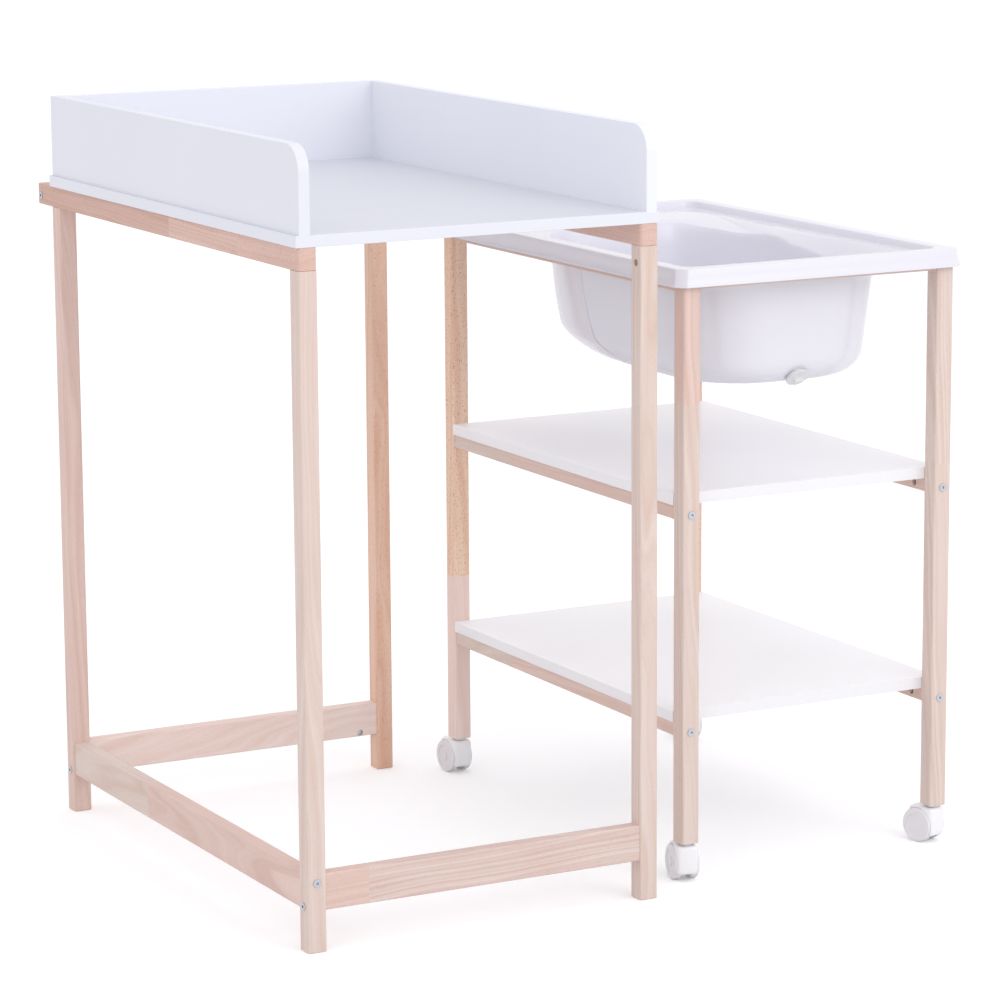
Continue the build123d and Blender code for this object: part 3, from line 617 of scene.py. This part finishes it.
# %% The line of the crease
BASIN_HALF = 0.190
BASIN_REACH = 0.3245
BACK_FLAT = 0.090
KINK = radians(16)
SHOULDER = [
    (0.0, 0.0, 0.0),
    (0.002, 0.03, 0.0),
    (0.02, 0.08, 0.1),
    (0.12, 0.27, 0.3),
    (0.22, 0.49, 0.6),
    (0.32, 0.71, 0.8),
    (0.39, 0.86, 1.0),
    (0.42, 0.905, 1.0),
    (0.45, 0.93, 1.0),
    (0.50, 0.945, 1.0),
    (0.60, 0.965, 0.8),
    (0.78, 0.985, 0.4),
    (1.0, 1.0, 0.1),
]
CREASE = [
    (-0.33, -0.010),
    (-0.12, -0.009),
    (-0.03, -0.002),
    (0.02, 0.006),
    (0.06, 0.006),
    (0.12, 0.003),
    (0.17, 0.006),
    (0.23, 0.013),
    (0.33, 0.014),
]


def crease_rise(y):
    """How far the crease lies above its mean height at a place along the tub."""
    for (start, low), (end, high) in zip(CREASE, CREASE[1:]):
        if start <= y <= end:
            share = (y - start) / (end - start)
            share = share * share * (3 - 2 * share)
            return low + share * (high - low)
    return 0.0


print("The crease rises by", round(crease_rise(BASIN_REACH) * 1000), "mm at the back")

# %% [markdown]
# Each outline of the basin is set by how far it lies down and inwards, and by its
# corners. Below the crease the round back end meets the sides at a slight angle, the
# kink. It runs down the walls and fades out in the rounded bottom.


# %% Outlines for the basin
def basin(drop, side_in, front_in, back_in, corner, back_reach, rise=0.0, kink=0.0):
    """One outline of the basin's inner face."""
    half = BASIN_HALF - side_in - WALL
    flat = max(half - back_reach + WALL, BACK_FLAT)
    points = outline(
        half,
        front_in + WALL - BASIN_REACH,
        BASIN_REACH - back_in - WALL,
        round_corner(corner - WALL, corner - WALL),
        round_corner(half - flat, back_reach - WALL, KINK * kink),
        rim_z - LEDGE_DROP - drop + min(WALL, drop),
    )
    for point in points:
        point.z += rise * crease_rise(point.y - tub_y)
    return points


SHOULDER_DEEP, SHOULDER_SIDE, SHOULDER_FRONT, SHOULDER_BACK = 0.042, 0.026, 0.017, 0.110
MOUTH_CORNER, FRONT_CORNER, BACK_CORNER = 0.022, 0.110, 0.178
CREASE_DOWN = 0.44

basin_outlines = []
for down, inward, rise in SHOULDER:
    basin_outlines.append(
        basin(
            down * SHOULDER_DEEP,
            inward * SHOULDER_SIDE,
            inward * SHOULDER_FRONT,
            inward * SHOULDER_BACK,
            MOUTH_CORNER + inward * (FRONT_CORNER - MOUTH_CORNER),
            MOUTH_CORNER + inward * (BACK_CORNER - MOUTH_CORNER),
            rise,
            1.0 if down > CREASE_DOWN else 0.0,
        )
    )
print("The shoulder has", len(basin_outlines), "outlines")

# %% [markdown]
# Below the shoulder the walls lean in a little, so that the moulding comes out of its
# mould. A rounded edge leads to the bottom. At the back the bottom sweeps up in a long
# curve, as a rest for a small back. The last outline lies on the flat bottom, drawn in
# towards its middle, so that the smooth shading ends before the big last face.

# %% The basin's walls and bottom
DRAFT_SIDE, DRAFT_FRONT, DRAFT_BACK = 0.011, 0.004, 0.0175
BASIN_DEEP, BOTTOM_ROUND, BOTTOM_SWEEP = 0.171, 0.036, 0.155
SWEEP_CURVE = 0.68
CORNER_SHRINK = 0.6
KINK_ENDS = 50
FLAT_SHARE = 0.85
BOTTOM_ANGLES = (0, 10, 20, 30, 40, 50, 60, 70, 80, 88)
straight = BASIN_DEEP - BOTTOM_ROUND - SHOULDER_DEEP

for share in (0.25, 0.5, 0.75):
    basin_outlines.append(
        basin(
            SHOULDER_DEEP + share * straight,
            SHOULDER_SIDE + share * DRAFT_SIDE,
            SHOULDER_FRONT + share * DRAFT_FRONT,
            SHOULDER_BACK + share**2 * DRAFT_BACK,
            FRONT_CORNER,
            BACK_CORNER,
            kink=1.0,
        )
    )
for angle in BOTTOM_ANGLES:
    reach = BOTTOM_ROUND * (1 - cos(radians(angle)))
    basin_outlines.append(
        basin(
            BASIN_DEEP - BOTTOM_ROUND * (1 - sin(radians(angle))),
            SHOULDER_SIDE + DRAFT_SIDE + reach,
            SHOULDER_FRONT + DRAFT_FRONT + reach,
            SHOULDER_BACK + DRAFT_BACK + (reach / BOTTOM_ROUND) ** SWEEP_CURVE * BOTTOM_SWEEP,
            FRONT_CORNER - CORNER_SHRINK * reach,
            BACK_CORNER - CORNER_SHRINK * reach,
            kink=max(0.0, 1 - angle / KINK_ENDS),
        )
    )
middle = sum(basin_outlines[-1], Vector()) / len(basin_outlines[-1])
basin_outlines.append([middle.lerp(point, FLAT_SHARE) for point in basin_outlines[-1]])
print("The basin has", len(basin_outlines), "outlines")

# %% [markdown]
# Now the skin itself. The outlines go from the skirt's foot up its flare, over the rim,
# down the step, along the ledge, and down the basin. A lathe can't make this shape, and
# a subdivided box would blur its crisp rim. The two lists hold how far in each outline
# lies from the skirt's foot, and how far down from the rim's top.

# %% Draw the tub's skin
SKIRT = [
    (0.0000, 0.0250),
    (0.0000, 0.0228),
    (0.0004, 0.0221),
    (0.0013, 0.0218),
    (0.0017, 0.0210),
    (0.0030, 0.0115),
    (0.0043, 0.0020),
    (0.0047, 0.0008),
    (0.0056, 0.0001),
    (0.0068, 0.0000),
]
STEP = [
    (0.0255, 0.0000),
    (0.0266, 0.0002),
    (0.0275, 0.0010),
    (0.0280, 0.0025),
    (0.0283, 0.0090),
    (0.0287, 0.0103),
    (0.0295, 0.0109),
    (0.0310, LEDGE_DROP),
]
path = [rim(inset, drop) for inset, drop in SKIRT]
path += [ledge_step(inset, drop) for inset, drop in STEP]
path += basin_outlines

pick()
bpy.ops.mesh.primitive_circle_add(vertices=len(path[0]), radius=foot_x, location=(0, 0, 0))
tub = bpy.context.object
for vertex, point in zip(tub.data.vertices, path[0]):
    vertex.co = point
bpy.ops.object.mode_set(mode="EDIT")
bpy.ops.mesh.select_all(action="SELECT")
for points in path[1:]:
    bpy.ops.mesh.extrude_edges_move()
    mesh = bmesh.from_edit_mesh(tub.data)
    fresh = sorted((vertex for vertex in mesh.verts if vertex.select), key=lambda vertex: vertex.index)
    for vertex, point in zip(fresh, points):
        vertex.co = point
    bmesh.update_edit_mesh(tub.data)
bpy.ops.mesh.edge_face_add()
bpy.ops.object.mode_set(mode="OBJECT")
settle(tub, "bath_tub")
print("The tub's skin has", len(tub.data.polygons), "faces from", len(path), "outlines")

# %% [markdown]
# The skin is the side that holds the water, and Solidify adds the wall behind it. So
# the faces have to look to the water's side first. The operator makes them agree, and
# the lowest face, which is the tub's bottom, shows which side they took: it looks up.

# %% Thicken the tub
pick(tub)
bpy.ops.object.mode_set(mode="EDIT")
bpy.ops.mesh.select_all(action="SELECT")
bpy.ops.mesh.normals_make_consistent(inside=False)
bpy.ops.object.mode_set(mode="OBJECT")
lowest = min(tub.data.polygons, key=lambda face: face.center.z)
print("The tub's bottom looks", "up" if lowest.normal.z > 0 else "down")
skin_size = len(tub.data.vertices)
thick = tub.modifiers.new("wall", "SOLIDIFY")
thick.thickness = WALL
thick.offset = -1
thick.use_even_offset = True
bpy.ops.object.modifier_apply(modifier="wall")
print("The wall doubled", skin_size, "points to", len(tub.data.vertices))

# %% [markdown]
# The raised lines lie on the outer wall, whose points follow the inner ones in the same
# order. The two middle points of each line's four are moved outwards, from under the
# crease down to the rounded bottom.

# %% Raise the lines and smooth the tub
LINE_RAISE = 0.0013
SMOOTH_BELOW = radians(32)
ABOVE_LINE = 9
BELOW_LINE = 6
around = len(path[0])
left_line = 2 * (CORNER_STEPS + 1) + END_STEPS - 1
right_line = around - len(LINE_STEPS)
line_levels = range(len(path) - len(basin_outlines) + ABOVE_LINE, len(path) - BELOW_LINE)

bpy.ops.object.mode_set(mode="EDIT")
bpy.ops.mesh.select_all(action="DESELECT")
bpy.ops.object.mode_set(mode="OBJECT")
for level in line_levels:
    for column in (left_line + 1, left_line + 2, right_line + 1, right_line + 2):
        tub.data.vertices[skin_size + level * around + column].select = True
bpy.ops.object.mode_set(mode="EDIT")
bpy.ops.transform.shrink_fatten(value=LINE_RAISE)
bpy.ops.object.mode_set(mode="OBJECT")
bpy.ops.object.shade_smooth_by_angle(angle=SMOOTH_BELOW)
tub.data.materials.clear()
tub.data.materials.append(tub_white)
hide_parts("tub")
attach(tub, "tub")
print("The tub is", [round(side, 3) for side in tub.dimensions], "m")

# %% [markdown]
# ## The castors' hoods
# A hood is a moulded box with soft edges. It covers the tops of two wheels, closes the
# front to below the axle, and stands between the wheels. A cube is sized and bevelled,
# and a Boolean cuts a round well for each wheel. A lathe can't do it, because the hood
# is square from the side and only the wells are round. It is modelled once.

# %% Model the hood
HOOD_REACH = 0.0275
HOOD_TAIL = 0.0165
HOOD_FOOT = -0.0145
HOOD_HALF = 0.0160
HOOD_EDGE = 0.0062
HOOD_SMOOTH_BELOW = radians(35)
WELL_RADIUS = 0.0256
WEB_HALF = 0.0068


def wheel_well(side):
    """A cylinder that clears one wheel. It is the cutter for a Boolean."""
    pick()
    depth = 2 * HOOD_HALF
    bpy.ops.mesh.primitive_cylinder_add(
        vertices=72,
        radius=WELL_RADIUS,
        depth=depth,
        location=(0, side * (WEB_HALF + depth / 2), 0),
        rotation=(radians(90), 0, 0),
    )
    return bpy.context.object


pick()
bpy.ops.mesh.primitive_cube_add(size=1, location=(0, 0, 0))
hood = bpy.context.object
bpy.ops.object.mode_set(mode="EDIT")
bpy.ops.mesh.select_all(action="SELECT")
bpy.ops.transform.resize(
    value=(HOOD_REACH + HOOD_TAIL, 2 * HOOD_HALF, HOOD_REACH - HOOD_FOOT),
    center_override=(0, 0, 0),
)
bpy.ops.transform.translate(value=((HOOD_REACH - HOOD_TAIL) / 2, 0, (HOOD_REACH + HOOD_FOOT) / 2))
bpy.ops.mesh.bevel(offset=HOOD_EDGE, segments=5, affect="EDGES", clamp_overlap=True)
bpy.ops.object.mode_set(mode="OBJECT")
for side in (-1, 1):
    cutter = wheel_well(side)
    pick(hood)
    cut = hood.modifiers.new("well", "BOOLEAN")
    cut.operation = "DIFFERENCE"
    cut.object = cutter
    bpy.ops.object.modifier_apply(modifier="well")
    bpy.data.objects.remove(cutter, do_unlink=True)
print("The hood has", len(hood.data.polygons), "faces")

# %% [markdown]
# Each castor has turned its own way. The wheels' axle trails behind the leg's middle,
# so the line from the axle to the leg gives the hood's direction. Every castor gets a
# copy of the hood with its own mesh, so that its place can be moved into the mesh.

# %% Set a hood on each castor
for corner in ("front_left", "front_right", "back_left", "back_right"):
    axle_low, axle_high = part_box(f"castor_axle_{corner}")
    leg_low, leg_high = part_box(f"trolley_leg_{corner}")
    axle = (Vector(axle_low) + Vector(axle_high)) / 2
    leg = (Vector(leg_low) + Vector(leg_high)) / 2
    cover = hood.copy()
    cover.data = hood.data.copy()
    bpy.context.collection.objects.link(cover)
    cover.rotation_euler.z = atan2(leg.y - axle.y, leg.x - axle.x)
    cover.location = axle
    settle(cover, f"hood_{corner}")
    bpy.ops.object.shade_smooth_by_angle(angle=HOOD_SMOOTH_BELOW)
    cover.data.materials.clear()
    cover.data.materials.append(castor_white)
    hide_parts(f"castor_hood_{corner}")
    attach(cover, f"castor_{corner}")
    print(cover.name, "is turned by", round(degrees(atan2(leg.y - axle.y, leg.x - axle.x))), "degrees")
bpy.data.objects.remove(hood, do_unlink=True)

# %% [markdown]
# ## Floor and light
# The floor is white paper that keeps the soft shadows. Brighter lamps would make it
# white, but they would wash out the pale wood too. So the paper is a paler one with a
# faint glow where the camera, a gloss or a clear plastic looks at it, and a plain one
# for the light that it throws back on the object.

# %% Lay the floor
FLOOR_SIDE = 120
GLOW = 0.18


def seen(tree):
    """1 for what the camera, a reflection or a clear plastic sees, and 0 for other light."""
    rays = put(tree, "ShaderNodeLightPath").outputs
    indirect = compute(tree, "MAXIMUM", rays["Is Glossy Ray"], rays["Is Transmission Ray"])
    return compute(tree, "MAXIMUM", rays["Is Camera Ray"], indirect)


pick()
bpy.ops.mesh.primitive_plane_add(size=FLOOR_SIDE, location=(0, 0, 0))
floor = bpy.context.object
floor.name = "floor"
paper = bpy.data.materials.new("paper")
paper.use_nodes = True
tree = paper.node_tree
tree.nodes.clear()
matt = put(tree, "ShaderNodeBsdfDiffuse", None, Color=(0.80, 0.80, 0.80, 1))
bright = put(tree, "ShaderNodeBsdfDiffuse", None, Color=(0.97, 0.97, 0.97, 1))
glow = put(tree, "ShaderNodeEmission", None, Color=(1, 1, 1, 1), Strength=GLOW)
white = put(tree, "ShaderNodeAddShader", None, i0=bright.outputs[0], i1=glow.outputs[0])
mixed = put(tree, "ShaderNodeMixShader", None, i0=seen(tree), i1=matt.outputs[0], i2=white.outputs[0])
put(tree, "ShaderNodeOutputMaterial", None, Surface=mixed.outputs[0])
floor.data.materials.append(paper)
print("The floor is", FLOOR_SIDE, "m wide")

# %% [markdown]
# The world is an even, slightly cool light from everywhere, and plain white where the
# camera sees it. It alone would leave the object flat.

# %% Light the world
WORLD_STRENGTH = 0.95
world = bpy.data.worlds.new("studio")
bpy.context.scene.world = world
world.use_nodes = True
tree = world.node_tree
tree.nodes.clear()
soft = put(tree, "ShaderNodeBackground", None, Color=(0.97, 0.97, 1.0, 1), Strength=WORLD_STRENGTH)
plain = put(tree, "ShaderNodeBackground", None, Color=(1, 1, 1, 1), Strength=1.0)
mixed = put(tree, "ShaderNodeMixShader", None, i0=seen(tree), i1=soft.outputs[0], i2=plain.outputs[0])
put(tree, "ShaderNodeOutputWorld", None, Surface=mixed.outputs[0])
print("The world shines with a strength of", WORLD_STRENGTH)

# %% [markdown]
# Three large soft lamps give the faces their different tones: a strong key lights the
# fronts, and two weaker ones hang above and on the left. The real shelves look evenly
# white, also under the tub, so a small lamp lights them alone. A light's receiver
# collection says what it lights, and its blocker collection says what may shade it.


# %% Set up the lamps
def lamp(name, place, target, size, power):
    """A large soft lamp that faces a point. The power is in watts."""
    pick()
    turn = (Vector(target) - Vector(place)).to_track_quat("-Z", "Y").to_euler()
    bpy.ops.object.light_add(type="AREA", location=place, rotation=turn)
    light = bpy.context.object
    light.name = name
    light.data.shape = "RECTANGLE"
    light.data.size, light.data.size_y = size
    light.data.energy = power
    return light


def only_on(light, names):
    """Let a lamp light some nodes alone, with nothing between them and the lamp."""
    lit = bpy.data.collections.new(light.name + "_lit")
    for name in names:
        lit.objects.link(nodes[name])
    light.light_linking.receiver_collection = lit
    shade = bpy.data.collections.new(light.name + "_shade")
    shade.objects.link(floor)
    light.light_linking.blocker_collection = shade


lamp("key", (1.2, -4.2, 2.6), (0, 0, 0.6), (3.0, 2.6), 42)
lamp("top", (0.4, -0.6, 4.2), (0, 0, 0.5), (3.6, 3.6), 9)
lamp("side", (-3.6, -2.2, 3.0), (0, 0, 0.5), (3.0, 3.0), 12)
shelf_lamp = lamp("shelf_lamp", (0.05, 0.1, 1.6), (0.25, -0.05, 0.5), (1.0, 1.0), 5.6)
only_on(shelf_lamp, ["shelf_upper", "shelf_lower"])
bpy.context.scene.view_settings.view_transform = "Standard"
print("There are", len(bpy.data.lights), "lamps")
